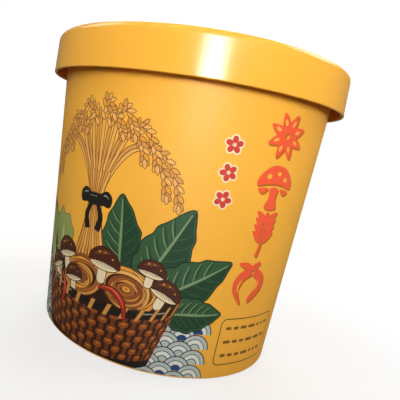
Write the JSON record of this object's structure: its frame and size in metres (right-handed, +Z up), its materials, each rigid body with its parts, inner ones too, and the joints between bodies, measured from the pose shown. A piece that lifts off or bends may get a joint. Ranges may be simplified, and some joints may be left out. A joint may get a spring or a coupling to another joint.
{
  "type": "instant noodle cup",
  "caption": "Tapered paper noodle cup, sealed and standing upright, with a glossy yellow overcap lid snapped on its rim",
  "frame": {"origin": "middle of the flat foot ring that the cup stands on", "axes": "+Z up along the cup's axis, front of the printed picture towards -Y"},
  "size_m": [0.12, 0.12, 0.114],
  "materials": {
    "printed_paper": "satin printed paper",
    "lid_plastic": "smooth glossy moulded plastic"
  },
  "bodies": {
    "root": {"cup": "printed_paper", "lid": "lid_plastic"}
  },
  "joints": []
}
